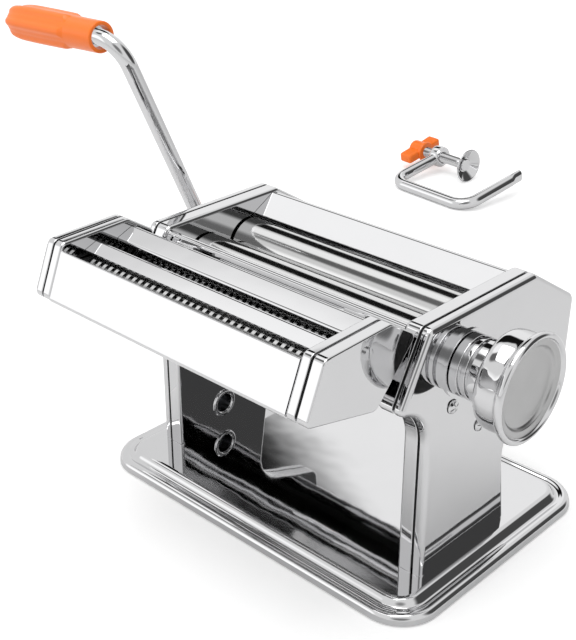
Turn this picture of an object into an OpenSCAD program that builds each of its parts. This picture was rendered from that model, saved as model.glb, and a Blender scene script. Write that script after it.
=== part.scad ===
// Hand-cranked pasta roller machine with a lift-off two-cutter attachment and a table clamp.
// X runs along the rollers (-X crank side, +X knob side), -Y is the cutter side, Z = 0 is the table.
// The origin is the centre of the base plate, on the table.

/* [Base] */
// Length of the base plate along the rollers
base_length = 216; // [190:1:260]
// Width of the base plate from front to back
base_width = 152; // [140:1:180]
// Corner radius of the base plate
base_corner_r = 22; // [14:1:30]
// Height of the base plate's top face above the table
base_height = 8.2; // [7.5:0.1:12]
// Height of the gap that the rubber feet leave under the base's lip
foot_lift = 0.8; // [0.4:0.1:2]
// Radius of a rubber foot
foot_r = 8; // [5:0.5:10]
// Thickness of the pressed steel sheet
sheet_t = 1.2; // [0.8:0.1:1.5]

/* [Side panels] */
// Clear width between the two inner panels
inner_width = 154; // [140:1:200]
// Depth of an inner panel shell, from its inside face to the seam
inner_shell_depth = 8; // [7:0.5:10]
// Depth of an outer cover, from the seam to its outside face
cover_depth = 4.8; // [4.4:0.2:8]
// Width of the dark seam between an inner panel and its cover
seam = 1.2; // [0.4:0.1:1.4]
// Height of the panels' top edge above the table
panel_top = 140; // [136:1:150]
// Distance from the leg's front face to the leg's back face at the base
leg_depth = 69; // [60:1:76]

/* [Rollers] */
// Radius of both smooth rollers
roller_r = 14.6; // [13.5:0.1:15]
// Height of the roller axes above the table
roller_z = 114.5; // [112:0.5:117]
// Place of the crank-driven roller's axis from the base centre
drive_y = 10.5; // [9:0.5:12]
// Widest opening between the two rollers
gap_max = 3; // [1.5:0.1:3.5]
// Narrowest opening between the two rollers
gap_min = 0.5; // [0.3:0.1:1]
// Radius of the driven roller's end journals
journal_r = 6; // [5:0.5:6.5]
// Teeth on each roller gear
roller_gear_teeth = 12; // [12:1:12]

/* [Thickness knob] */
// Radius of the knob's rolled rim
knob_rim_r = 26; // [22:0.5:29]
// Distance from the cover's face to the knob's front face
knob_reach = 36; // [30:1:40]
// Radius of the knob's grooved stem
knob_stem_r = 15; // [12:0.5:16]
// Travel of the knob when it is pulled out to turn it
knob_pull = 4; // [2:0.5:5]

/* [Crank] */
// Radius of the crank's bent rod
crank_rod_r = 4.25; // [3:0.25:4.5]
// Distance from the roller axis to the grip's axis
crank_throw = 125; // [100:5:140]
// Lean of the crank arm from upright, towards the cutters
crank_lean = 24.8; // [0:0.1:45]
// Droop of the grip's axis from square to the arm
grip_droop = 2.5; // [0:0.5:6]
// Length of the crank grip
grip_length = 80; // [70:5:110]
// Largest radius of the crank grip
grip_r = 10; // [9:0.5:13]

/* [Cutter attachment] */
// Outside radius of the cutter discs
cutter_r = 6.6; // [6.4:0.1:6.8]
// Spacing of the narrow cutter's discs
narrow_pitch = 4.3; // [4:0.1:6]
// Spacing of the wide cutter's discs
wide_pitch = 13.2; // [12:0.2:15]
// Distance that the attachment slides up its rails to come off
lift_travel = 60; // [40:5:80]
// Radius of the crank sockets in the cutter shafts
socket_r = 4.3; // [3.8:0.1:4.5]

/* [Table clamp] */
// Radius of the clamp's bent rod
clamp_rod_r = 5; // [4:0.25:5.5]
// Length of the clamp's back between the centres of its arms
clamp_back = 85; // [70:1:100]
// Length of the clamp's long arm, which enters the machine
clamp_arm = 71; // [64:1:85]
// Distance from the clamp's back to the screw's axis
clamp_screw_reach = 60; // [50:1:66]
// Radius of the clamp screw
clamp_screw_r = 4.5; // [3.5:0.5:5]
// Radius of the clamp's cup
clamp_cup_r = 15; // [12:0.5:17]
// Place of the clamp's back corner on the table, from the base centre
clamp_place = [-270, 380];
// Turn of the clamp on the table
clamp_turn = -6; // [-30:1:30]

/* [Hidden] */
$fn = 64;
running = 0.05;
side_play = 0.2;
face_gap = 0.3;

inner_face = inner_width / 2;
seam_face = inner_face + inner_shell_depth;
outer_face = seam_face + seam + cover_depth;
sheet_span = inner_width - 2 * side_play;
roller_half = inner_face - 1.3;

drive_centre = [drive_y, roller_z];
eccentricity = (gap_max - gap_min) / 2;
knob_y = drive_y - 2 * roller_r - (gap_max + gap_min) / 2;
knob_centre = [knob_y, roller_z];
adjust_centre = [knob_y - eccentricity, roller_z];

// ---- Plane geometry: closed outlines with rounded corners, and bent sheet sections ----

function unit(v) = v / norm(v);
function turned(v, a) = [v.x * cos(a) - v.y * sin(a), v.x * sin(a) + v.y * cos(a)];
function left_turn(p, q, s) = cross(q - p, s - q) > 0;

function inset_corner(p, q, s, d) =
    let(n1 = turned(unit(q - p), 90), n2 = turned(unit(s - q), 90))
    q + d * (n1 + n2) / (1 + n1 * n2);

function fillet(p, q, s, r) =
    let(a = unit(p - q), b = unit(s - q), half = acos(a * b) / 2,
        centre = q + unit(a + b) * r / sin(half),
        from = q + a * r / tan(half) - centre,
        sweep = (180 - 2 * half) * (left_turn(p, q, s) ? 1 : -1),
        steps = r < 1 ? 1 : r < 10 ? 5 : 10)
    [for (i = [0:steps]) centre + turned(from, sweep * i / steps)];

// Closed outline through corners [y, z, radius], anticlockwise, moved inwards by inset
function outline(corners, inset = 0) =
    let(n = len(corners),
        flat = [for (c = corners) [c[0], c[1]]],
        moved = [for (i = [0:n - 1]) inset_corner(flat[(i + n - 1) % n], flat[i], flat[(i + 1) % n], inset)])
    [for (i = [0:n - 1])
        let(p = moved[(i + n - 1) % n], q = moved[i], s = moved[(i + 1) % n],
            r = left_turn(p, q, s) ? max(corners[i][2] - inset, 0.3) : corners[i][2] + inset)
        each fillet(p, q, s, r)];

// Section of a sheet of thickness t that lies on the left of a bent line
function sheet(path, t) =
    let(n = len(path),
        normal = [for (i = [0:n - 2]) turned(unit(path[i + 1] - path[i]), 90)])
    concat(path, [for (i = [n - 1:-1:0])
        let(a = normal[max(i - 1, 0)], b = normal[min(i, n - 2)])
        path[i] + t * (a + b) / (1 + a * b)]);

// ---- Placing: sections in the Y-Z plane carried along X ----

module along_x(from, to) {
    translate([from, 0, 0]) rotate([90, 0, 90]) linear_extrude(to - from) children();
}

module rod_x(centre, r, from, to) {
    translate([from, centre[0], centre[1]]) rotate([0, 90, 0]) cylinder(h = to - from, r = r);
}

module ring_x(centre, r_out, r_in, from, to) {
    difference() {
        rod_x(centre, r_out, from, to);
        rod_x(centre, r_in, from - 1, to + 1);
    }
}

module on_side(side) {
    mirror([side < 0 ? 1 : 0, 0, 0]) children();
}

module on_both_sides() {
    for (side = [-1, 1]) on_side(side) children();
}

// Pressed shell, open at open_x and closed by a wall at wall_x
module shell(corners, open_x, wall_x, t) {
    outwards = wall_x > open_x;
    difference() {
        along_x(min(open_x, wall_x), max(open_x, wall_x)) polygon(outline(corners));
        along_x(outwards ? open_x - 1 : wall_x + t, outwards ? wall_x - t : open_x + 1)
            polygon(outline(corners, t));
    }
}

module ring_band(corners, inset_out, inset_in, from, to) {
    difference() {
        along_x(from, to) polygon(outline(corners, inset_out));
        along_x(from - 1, to + 1) polygon(outline(corners, inset_in));
    }
}

// Inner shell with a stepped-in flange that enters its cover and leaves the seam
module seamed_shell(corners, wall_x, rim_x, flange_end) {
    shell(corners, rim_x, wall_x, sheet_t);
    ring_band(corners, sheet_t - 0.2, flange_in, rim_x - sheet_t, rim_x);
    ring_band(corners, flange_out, flange_in, rim_x - sheet_t, flange_end);
}

// ---- Bent rods ----

// Round rod bent in the X-Y plane: it starts along +X, and each turn follows its straight length
module bent_rod(lengths, turns, r, bend_r, i = 0) {
    rotate([0, 90, 0]) cylinder(h = lengths[i], r = r);
    if (i < len(turns)) translate([lengths[i], 0, 0]) {
        side = sign(turns[i]);
        turn = abs(turns[i]);
        mirror([0, side < 0 ? 1 : 0, 0]) translate([0, bend_r, 0]) rotate(-90)
            rotate_extrude(angle = turn) translate([bend_r, 0]) circle(r = r);
        translate([bend_r * sin(turn), side * bend_r * (1 - cos(turn)), 0]) rotate(turns[i])
            bent_rod(lengths, turns, r, bend_r, i + 1);
    }
}

// ---- Gears ----

// Section of a long-toothed gear: straight-flanked teeth on a root disc
module gear_section(teeth, r_root, r_tip, w_root, w_tip, phase) {
    circle(r = r_root);
    for (i = [0:teeth - 1])
        rotate(phase + i * 360 / teeth)
            polygon([[r_root - 1, -w_root / 2], [r_tip, -w_tip / 2], [r_tip, w_tip / 2], [r_root - 1, w_root / 2]]);
}

module gear(centre, teeth, sizes, phase, bore_r, from, to) {
    difference() {
        along_x(from, to) translate(centre)
            gear_section(teeth, sizes[0], sizes[1], sizes[2], sizes[3], phase);
        rod_x(centre, bore_r, from - 1, to + 1);
    }
}

// ---- Shared sizes and places ----

flange_out = sheet_t + 0.3;
flange_in = flange_out + sheet_t;

nose = [-66, 105];
top_front = [-47, panel_top];
leg_front = -45;
leg_back = leg_front + leg_depth;
panel_corners = [
    [top_front.x, top_front.y, 4],
    [nose.x, nose.y, 3],
    [leg_front, 98, 23],
    [leg_front, base_height, 0],
    [leg_back, base_height, 0],
    [leg_back - 8, 62, 22],
    [69, 80, 8],
    [70, 117, 5],
    [33, panel_top, 4],
];

tie_rod_r = 4;
tie_rod_places = [[-51, 113], [50, 108], [34, 92]];
tie_nut_r = 6.5;
tie_nut_h = 4;

cover_stud_r = 3;
cover_stud_places = [[-28, 60], [58, 98]];

clamp_hole = [-12, 22];
clamp_hole_r = clamp_rod_r + 0.5;
clamp_sleeve_r = clamp_hole_r + 1.5;

leg_screw_r = 2.5;
leg_screw_x = inner_face + inner_shell_depth / 2;
leg_screw_ys = [leg_front + 10, leg_back - 10];

bush_wall = 2;
bush_flange = 0.8;
adjust_core_r = 5;
adjust_small_journal_r = adjust_core_r - eccentricity - running;
adjust_large_journal_r = adjust_core_r + eccentricity + 0.25;
hub_r = 8.5;
roller_bush_r = hub_r + 0.5;
roller_bush_length = 12;
hub_window_r = hub_r + eccentricity + 0.4;

gear_from = -(inner_face + sheet_t + 1);
gear_to = gear_from - 4.4;
axle_distance_min = 2 * roller_r + gap_min;
roller_gear_sizes = [roller_r - 2.9, roller_r + 2.6, 3.4, 1.7];
roller_gear_pitch = 360 / roller_gear_teeth;

crank_standoff = 24;
crank_boss_end = -(outer_face + 2);
crank_socket_end = -(inner_face + 3);
crank_pin_r = 1;
crank_pin_x = crank_boss_end + 2;
crank_elbow_x = -(outer_face + crank_standoff);
crank_bend_r = 9;
grip_dome = 12;
crank_tip_x = crank_socket_end - 0.6;
crank_reach = crank_tip_x - crank_elbow_x;
grip_start = 13;
grip_recess_depth = 7;
grip_recess_r = 6;

knob_face_x = outer_face + knob_reach;
knob_stem_x = outer_face + 1.3;
index_plate_t = 0.9;
index_plate_r = knob_stem_r + 1.6;
index_circle_r = 10.8;
index_holes = 10;
knob_square = 7;
knob_square_end = knob_stem_x + 15;
knob_stem_end = knob_face_x - 11;
knob_barrel_r = knob_rim_r - 2.6;
knob_pin_r = 1.4;
knob_axle_r = 3.4;
knob_spring_r = 5.6;
knob_spring_wire = 0.55;
knob_head_r = 6.6;

// Front edge line of the main body, on which the cutter attachment slides
rail_top = [-46.2, panel_top - 0.6];
rail_up = unit(top_front - nose);
rail_out = turned(rail_up, 90);
rail_angle = atan2(rail_up.y, rail_up.x);
rail_x = 55;
rail_web = 3;
rail_head = [12, 2];
rail_length = 26;
rail_low = -30;

cap_inner_depth = 5;
cap_wall = 1;
cap_seam_face = inner_face + cap_inner_depth;
cap_cover_depth = 5.8;
cap_outer_face = cap_seam_face + seam + cap_cover_depth;
cap_corners = [
    [-112.5, 151, 4],
    [-123.5, 124.5, 3],
    [-80, 114, 5],
    [-55, 141, 3],
    [-72, 152, 6],
];

// Cutter axes from front to back: the narrow pair, then the wide pair
narrow_front = [-109.65, 134.4];
narrow_rear = [-98.5, 135.2];
wide_front = [-84.9, 130.6];
wide_rear = [-74.4, 134.2];
cutter_axes = [narrow_front, narrow_rear, wide_front, wide_rear];
cutter_core_r = cutter_r - 2.2;
cutter_shaft_r = 3;
cutter_half = inner_face - 4.4;
cheek_t = 3;
cutter_gear_teeth = 10;
cutter_gear_sizes = [4.2, 6.1, 2.1, 1.1];
cutter_gear_from = -(inner_face + cap_wall + 1.4);
cutter_gear_to = cutter_gear_from - 4;
cutter_hub_r = 5.4;
cutter_hub_end = -(cap_outer_face + 0.5);
cutter_socket_depth = 4.6;
comb_rod_r = 1.4;
comb_centres = [[-115.8, 126], [-95.7, 122.4], [-87.5, 121.9], [-80.2, 120.8]];
cutter_tie_places = [[-64.5, 138.5], [-84.8, 118.9]];
cutter_tie_r = 2;
cutter_screw_places = [[-87.5, 144.5]];
cutter_screw_r = 1.5;

clamp_tilt = asin((clamp_cup_r - clamp_rod_r) / clamp_screw_reach);
clamp_bend_r = 15;
clamp_eye_r = 9.5;
clamp_eye_half = 5.5;
clamp_screw_start = -28;
clamp_cup_x = 29;
clamp_neck_r = 3.5;

// ---- Base ----

module rounded_plate(half_x, half_y, r, t) {
    linear_extrude(t) union() {
        square([2 * (half_x - r), 2 * half_y], center = true);
        square([2 * half_x, 2 * (half_y - r)], center = true);
        for (x = [-1, 1], y = [-1, 1]) translate([x * (half_x - r), y * (half_y - r)]) circle(r = r);
    }
}

// Carries a rim section (distance from the corner centre, height) around the base
module around_base() {
    half = [base_length / 2 - base_corner_r, base_width / 2 - base_corner_r];
    for (i = [0:3]) {
        along = i % 2 == 0 ? half : [half.y, half.x];
        rotate(i * 90) {
            translate([along.x, along.y, 0]) rotate_extrude(angle = 90) children();
            along_x(-along.x, along.x) translate([along.y, 0]) children();
        }
    }
}

rim_width = 12.7;
rim_steps = [[rim_width, 0], [10.4, -0.7], [8.8, -2.5], [7.6, -3.4], [6.3, -3.4],
    [4.6, -2.5], [2.9, -2.6], [1.1, -3.7], [0.2, -5.2]];
rim_path = concat([for (p = rim_steps) [base_corner_r - p.x, base_height + p.y]],
    [[base_corner_r, foot_lift]]);
plateau_inset = rim_width - 0.1;
under_base = base_height - sheet_t;

module at_leg_screws(z) {
    for (x = [-leg_screw_x, leg_screw_x], y = leg_screw_ys) translate([x, y, z]) children();
}

module base_plate() {
    color("gainsboro") difference() {
        union() {
            around_base() polygon(sheet(rim_path, -sheet_t));
            translate([0, 0, under_base])
                rounded_plate(base_length / 2 - plateau_inset, base_width / 2 - plateau_inset,
                    base_corner_r - plateau_inset, sheet_t);
        }
        at_leg_screws(under_base - 1) cylinder(h = sheet_t + 2, r = leg_screw_hole_r);
    }
}

foot_inset = 24;

module rubber_feet() {
    color("dimgray") for (x = [-1, 1], y = [-1, 1])
        translate([x * (base_length / 2 - foot_inset), y * (base_width / 2 - foot_inset), 0])
            cylinder(h = under_base, r = foot_r);
}

leg_screw_hole_r = leg_screw_r + 0.3;
tap_bar_h = 5;
tap_bar_side = 0.3;

module leg_screws() {
    color("silver") at_leg_screws(under_base - 2.2) {
        cylinder(h = 2.2, r = leg_screw_r + 1.8);
        cylinder(h = 2.2 + 2 * sheet_t + tap_bar_h, r = leg_screw_r);
    }
}

module leg_tap_bars() {
    color("silver") difference() {
        on_both_sides()
            translate([inner_face + sheet_t + tap_bar_side, leg_front + 4, base_height + sheet_t])
                cube([inner_shell_depth - 2 * sheet_t - 2 * tap_bar_side, leg_depth - 8, tap_bar_h]);
        at_leg_screws(base_height) cylinder(h = 2 * tap_bar_h, r = leg_screw_r + 0.02);
    }
}

// ---- Side panels ----

module panel_holes() {
    for (p = tie_rod_places) rod_x(p, tie_stud_r + 0.15, inner_face - 1, seam_face);
    rod_x(drive_centre, journal_r + bush_wall, inner_face - 1, inner_face + sheet_t + 1);
    translate([leg_screw_x, 0, base_height - 1]) for (y = leg_screw_ys)
        translate([0, y, 0]) cylinder(h = sheet_t + 2, r = leg_screw_hole_r);
}

module inner_panel() {
    difference() {
        seamed_shell(panel_corners, inner_face, seam_face, seam_face + seam + 2.4);
        panel_holes();
    }
}

module left_inner_panel() {
    color("gainsboro") difference() {
        on_side(-1) inner_panel();
        rod_x(knob_centre, hub_window_r, -seam_face, -inner_face + 1);
        rod_x(clamp_hole, clamp_hole_r, -inner_face - sheet_t - 1, -inner_face + 1);
    }
}

module right_inner_panel() {
    color("gainsboro") difference() {
        inner_panel();
        rod_x(knob_centre, adjust_large_journal_r + bush_wall, inner_face - 1, inner_face + sheet_t + 1);
    }
}

module clamp_sleeve() {
    color("silver")
        ring_x(clamp_hole, clamp_sleeve_r, clamp_hole_r, -(outer_face - sheet_t), -(inner_face + sheet_t));
}

module outer_cover() {
    shell(panel_corners, seam_face + seam, outer_face, sheet_t);
}

journal_boss_end = gear_to - 0.6;

module left_cover() {
    color("gainsboro") difference() {
        union() {
            on_side(-1) outer_cover();
            rod_x(knob_centre, adjust_small_journal_r + running + 3, -outer_face + 1, journal_boss_end);
        }
        rod_x(knob_centre, adjust_small_journal_r + running, -outer_face + 1, journal_boss_end + 1);
        rod_x(drive_centre, journal_r + 0.4, -outer_face - 1, -seam_face);
    }
}

module right_cover() {
    color("gainsboro") difference() {
        outer_cover();
        rod_x(knob_centre, adjust_large_journal_r + 0.4, seam_face, outer_face + 1);
    }
}

module cover_studs() {
    color("silver") on_both_sides() for (p = cover_stud_places)
        rod_x(p, cover_stud_r, inner_face + sheet_t, outer_face - sheet_t);
}

tie_stud_r = 3;

module tie_rods() {
    color("silver") for (p = tie_rod_places) {
        rod_x(p, tie_rod_r, -inner_face, inner_face);
        rod_x(p, tie_stud_r, -inner_face - sheet_t - tie_nut_h, inner_face + sheet_t + tie_nut_h);
    }
}

module tie_nuts() {
    color("silver") on_both_sides() for (p = tie_rod_places) difference() {
        translate([inner_face + sheet_t, p[0], p[1]]) rotate([0, 90, 0])
            cylinder(h = tie_nut_h, r = tie_nut_r, $fn = 6);
        rod_x(p, tie_stud_r + 0.02, inner_face, seam_face);
    }
}

module flanged_bush(centre, bore_r) {
    ring_x(centre, bore_r + bush_wall, bore_r + running, inner_face - 0.8, inner_face + sheet_t + 0.1);
    ring_x(centre, bore_r + bush_wall + 2, bore_r + running,
        inner_face + sheet_t, inner_face + sheet_t + bush_flange);
}

module drive_bushes() {
    color("darkgoldenrod") on_both_sides() flanged_bush(drive_centre, journal_r);
}

module axle_bush() {
    color("darkgoldenrod") flanged_bush(knob_centre, adjust_large_journal_r);
}

// ---- Hopper and scrapers ----

hopper_leg_length = 38.5;
hopper_hem_drop = 1.8;
rail_bottom = rail_top - rail_up * hopper_leg_length;
hopper_hem = rail_top - rail_up * hopper_hem_drop;
front_hopper_path = [[-44, 127.5], [hopper_hem.x + 3.5, hopper_hem.y], hopper_hem, rail_bottom];
rear_hopper_path = [[14.5, 130.7], [29, panel_top - 1.4], [31.5, panel_top - 1.8], [66, 117.6], [66.4, 89.5]];
front_scraper_path = [[-29.4, 101.2], [-44, 96.5]];
rear_scraper_path = [[30.5, 97.5], [18.4, 101.2]];
scraper_t = 1;

module sheet_x(path, t) {
    along_x(-sheet_span / 2, sheet_span / 2) polygon(sheet(path, t));
}

module front_hopper_plate() {
    color("gainsboro") sheet_x(front_hopper_path, sheet_t);
}

module rear_hopper_plate() {
    color("gainsboro") sheet_x(rear_hopper_path, -sheet_t);
}

module front_scraper() {
    color("gainsboro") sheet_x(front_scraper_path, scraper_t);
}

module rear_scraper() {
    color("gainsboro") sheet_x(rear_scraper_path, scraper_t);
}

// ---- Drive roller and crank ----

module drive_roller() {
    color("silver") difference() {
        union() {
            rod_x(drive_centre, roller_r, -roller_half, roller_half);
            rod_x(drive_centre, journal_r, crank_boss_end, inner_face + 4.5);
        }
        rod_x(drive_centre, socket_r, crank_boss_end - 1, crank_socket_end);
        translate([crank_boss_end - 1, drive_centre[0], drive_centre[1]])
            translate([0, -crank_pin_r - 0.3, -journal_r - 1])
                cube([4.5, 2 * crank_pin_r + 0.6, 2 * journal_r + 2]);
    }
}

module drive_gear() {
    color("dimgray") gear(drive_centre, roller_gear_teeth, roller_gear_sizes, 180,
        journal_r + 0.02, gear_to, gear_from);
}

// Crank frame: +X out along the roller axis from the crank's tip, +Y up the arm
module in_crank_frame() {
    translate([crank_tip_x, drive_centre[0], drive_centre[1]]) rotate([crank_lean - 90, 0, 0])
        rotate(180) children();
}

module crank_rod() {
    corner_turn = 90 + grip_droop;
    corner_setback = crank_bend_r * tan(corner_turn / 2);
    color("silver") {
        in_crank_frame() bent_rod([crank_reach - crank_bend_r, crank_throw - crank_bend_r - corner_setback,
            grip_start + grip_length - grip_dome - corner_setback], [90, -corner_turn], crank_rod_r, crank_bend_r);
        translate([crank_pin_x, drive_centre[0], drive_centre[1] - journal_r + 0.5])
            cylinder(h = 2 * journal_r - 1, r = crank_pin_r);
    }
}

// Places a shape made along +Z on the grip's axis, dist from the crank's corner
module on_grip_axis(dist) {
    in_crank_frame() translate([crank_reach, crank_throw, 0]) rotate(-grip_droop)
        translate([dist, 0, 0]) rotate([0, 90, 0]) children();
}

module crank_grip() {
    color("darkorange") difference() {
        on_grip_axis(grip_start) rotate_extrude() polygon(concat(
            [[0, 0], [grip_r - 2.4, 0], [grip_r - 1.9, 1], [grip_r - 1.7, grip_length * 0.26],
                [grip_r - 0.5, grip_length * 0.38], [grip_r, grip_length * 0.5]],
            [for (a = [0:15:90]) [grip_r * cos(a), grip_length - grip_dome * (1 - sin(a))]]));
        on_grip_axis(grip_start - 1) cylinder(h = grip_recess_depth + 1, r = grip_recess_r);
        on_grip_axis(grip_start) cylinder(h = grip_length - grip_dome + 1, r = crank_rod_r + running);
    }
}

module grip_collar() {
    color("silver") on_grip_axis(grip_start + grip_recess_depth - 2) difference() {
        cylinder(h = 1.7, r = grip_recess_r - 0.5);
        translate([0, 0, -1]) cylinder(h = 4, r = crank_rod_r + 0.02);
    }
}

// ---- Thickness adjustment ----

knob_spring_from = knob_square_end + 0.7 + knob_pull;
knob_axle_end = knob_stem_end + knob_pull + 1;

module eccentric_axle() {
    color("silver") {
        rod_x(adjust_centre, adjust_core_r, gear_to - 0.4, roller_half + 0.3);
        rod_x(knob_centre, adjust_small_journal_r, -outer_face + 1.4, gear_to);
        rod_x(knob_centre, adjust_large_journal_r, roller_half + 0.2, outer_face + 1);
        translate([outer_face, knob_centre[0] - knob_square / 2, knob_centre[1] - knob_square / 2])
            cube([knob_square_end - outer_face, knob_square, knob_square]);
        rod_x(knob_centre, knob_axle_r, outer_face, knob_axle_end);
    }
}

module knob_screw() {
    color("silver") difference() {
        rod_x(knob_centre, knob_head_r, knob_axle_end, knob_axle_end + 1.6);
        translate([knob_axle_end + 0.9, knob_centre[0] - 0.6, knob_centre[1] - 6])
            cube([2, 1.2, 12]);
    }
}

module knob_spring() {
    squeezed = knob_axle_end - 0.2 - knob_spring_from;
    turns = 7;
    color("silver") for (i = [0:turns - 1])
        translate([knob_spring_from + knob_spring_wire + i * (squeezed - 2 * knob_spring_wire) / (turns - 1),
            knob_centre[0], knob_centre[1]])
            rotate([0, 90, 0]) rotate_extrude() translate([knob_spring_r - knob_spring_wire, 0])
                circle(r = knob_spring_wire, $fn = 24);
}

module knob_stem() {
    groove = [1.4, 1.6];
    color("silver") difference() {
        rod_x(knob_centre, knob_stem_r, knob_stem_x, knob_stem_end);
        translate([knob_stem_x - 1, knob_centre[0] - knob_square / 2 - 0.1,
            knob_centre[1] - knob_square / 2 - 0.1])
            cube([knob_square_end - knob_stem_x + 2, knob_square + 0.2, knob_square + 0.2]);
        rod_x(knob_centre, knob_spring_r + 0.6, knob_square_end + 0.5, knob_stem_end + 1);
        for (x = [knob_stem_x + 4.5, knob_stem_x + 8.5])
            ring_x(knob_centre, knob_stem_r + 1, knob_stem_r - groove[1], x, x + groove[0]);
        rod_x(knob_pin_centre, knob_pin_r + 0.02, knob_stem_x - 1, knob_stem_x + 6);
    }
}

knob_pin_centre = knob_centre + [0, index_circle_r];

module knob_pin() {
    color("silver") rod_x(knob_pin_centre, knob_pin_r, outer_face + index_plate_t + face_gap, knob_stem_x + 6);
}

knob_cap_t = 0.8;

module knob_cap() {
    back = knob_stem_end - 6.5;
    face = knob_face_x;
    path = [[knob_stem_r + 0.02, back], [knob_barrel_r - 2, back + 0.5], [knob_barrel_r, back + 2.5],
        [knob_barrel_r, face - 5.5], [knob_rim_r - 1.2, face - 4], [knob_rim_r, face - 2.5],
        [knob_rim_r, face - 0.7], [knob_rim_r - 0.7, face], [knob_rim_r - 2.2, face],
        [knob_rim_r - 3.2, face - 1.5], [0, face - 1.5]];
    color("silver") translate([0, knob_centre[0], knob_centre[1]]) rotate([0, 90, 0])
        rotate_extrude() polygon(sheet(path, knob_cap_t));
}

module index_plate() {
    color("silver") difference() {
        ring_x(knob_centre, index_plate_r, adjust_large_journal_r + 0.6, outer_face, outer_face + index_plate_t);
        for (i = [0:index_holes - 1]) {
            a = 90 - i * 180 / (index_holes - 1);
            rod_x(knob_centre + index_circle_r * [cos(a), sin(a)], knob_pin_r + 0.5,
                outer_face - 1, outer_face + 2);
        }
    }
}

module roller_bushes() {
    color("darkgoldenrod") for (x = [-roller_half + 2.3, roller_half - roller_bush_length])
        ring_x(adjust_centre, roller_bush_r - running, adjust_core_r + running, x, x + roller_bush_length);
}

module adjustable_roller() {
    color("silver") difference() {
        union() {
            rod_x(adjust_centre, roller_r, -roller_half, roller_half);
            rod_x(adjust_centre, hub_r, gear_to, -roller_half + 1);
        }
        rod_x(adjust_centre, roller_bush_r, -roller_half + 2, roller_half + 1);
        rod_x(adjust_centre, adjust_core_r + 1, gear_to - 1, -roller_half + 3);
    }
}

module adjustable_gear() {
    color("dimgray") gear(adjust_centre, roller_gear_teeth, roller_gear_sizes, roller_gear_pitch / 2,
        hub_r + 0.02, gear_to, gear_from);
}

// ---- Attachment rails and the cutter attachment ----

// Section drawn in the rail's own frame: x up along the rail, y out from the body
module in_rail_frame() {
    translate(rail_top) rotate(rail_angle) children();
}

function rail_l(p) = (p - rail_top) * rail_up;
function rail_n(p) = (p - rail_top) * rail_out;

web_out = 6.2;
lip_play = 0.6;
lip_t = 2;
channel_wall = 2;
channel_half = rail_head.x / 2 + lip_play + channel_wall;
channel_back = web_out + rail_head.y + lip_play;
rail_high = rail_low + rail_length;
channel_low = rail_low + 2 + face_gap;
channel_high = rail_high - 1;

module attachment_rails() {
    color("silver") for (x = [-rail_x, rail_x]) {
        along_x(x - rail_web / 2, x + rail_web / 2) in_rail_frame()
            translate([rail_low, 0]) square([rail_length, web_out + 0.1]);
        along_x(x - rail_head.x / 2, x + rail_head.x / 2) in_rail_frame()
            translate([rail_low, web_out]) square([rail_length, rail_head.y]);
        along_x(x - channel_half, x + channel_half) in_rail_frame()
            translate([rail_low, 0]) square([2, channel_back + 2]);
    }
}

front_plate_path = [[-112.1, 147.3], [-113.4, 147.9], [-123, 124.6], [-116.5, 122.2]];
middle_plate_path = [[-99.6, 144], [-92.8, 146.6], [-91.4, 146.6], [-90.9, 142.6]];
back_top = [-57.8, 139.8];
back_bottom = [-78.8, 117];
rear_plate_path = [[-81.2, 138.4], [-79.8, 144.2], [-70, 148], back_top, back_bottom, [-81, 116.6]];
plate_t = 1;

module front_plate() {
    color("gainsboro") sheet_x(front_plate_path, plate_t);
}

module middle_plate() {
    color("gainsboro") sheet_x(middle_plate_path, -plate_t);
}

module rear_plate() {
    color("gainsboro") sheet_x(rear_plate_path, -plate_t);
}

// Distance out from the rail's foot line to the rear plate, at height l along the rail
function rear_plate_n(l) = rail_n(back_top)
    + (rail_n(back_bottom) - rail_n(back_top)) * (l - rail_l(back_top)) / (rail_l(back_bottom) - rail_l(back_top));

module hanger_channels() {
    lip_low = web_out - lip_play - lip_t;
    foot_high = rail_l(back_top) - 1;
    color("silver") for (x = [-rail_x, rail_x], side = [-1, 1]) {
        lip_from = rail_web / 2 + lip_play;
        along_x(x + min(side * lip_from, side * channel_half), x + max(side * lip_from, side * channel_half))
            in_rail_frame() translate([channel_low, lip_low]) square([channel_high - channel_low, lip_t]);
        wall_from = channel_half - channel_wall;
        along_x(x + min(side * wall_from, side * channel_half), x + max(side * wall_from, side * channel_half))
            in_rail_frame() translate([channel_low, lip_low])
                square([channel_high - channel_low, channel_back - lip_low + 0.1]);
        along_x(x - channel_half, x + channel_half) in_rail_frame()
            polygon([[channel_low, channel_back], [channel_high, channel_back],
                [channel_high, channel_back + 1.1], [foot_high, channel_back + 1.1],
                [foot_high, rear_plate_n(foot_high)], [channel_low, rear_plate_n(channel_low)]]);
    }
}

module cap_inner() {
    difference() {
        seamed_shell(cap_corners, inner_face, cap_seam_face, cap_seam_face + seam + 2.4);
        for (p = cutter_axes) rod_x(p, cutter_shaft_r + 0.6, inner_face - 1, inner_face + sheet_t + 1);
        for (p = cutter_tie_places) rod_x(p, cutter_tie_r - 0.5, inner_face - 1, inner_face + sheet_t + 1);
    }
}

module left_cap_inner() {
    color("gainsboro") on_side(-1) cap_inner();
}

module right_cap_inner() {
    color("gainsboro") cap_inner();
}

module cap_outer() {
    difference() {
        shell(cap_corners, cap_seam_face + seam, cap_outer_face, sheet_t);
        for (p = cutter_screw_places) rod_x(p, cutter_screw_r + 0.1, cap_seam_face, cap_outer_face + 1);
    }
}

module left_cap_cover() {
    color("gainsboro") difference() {
        on_side(-1) cap_outer();
        for (p = [narrow_front, wide_rear]) rod_x(p, cutter_hub_r + 0.5, -cap_outer_face - 1, -cap_seam_face);
    }
}

module right_cap_cover() {
    color("gainsboro") cap_outer();
}

cap_post_r = 2.8;

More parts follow.
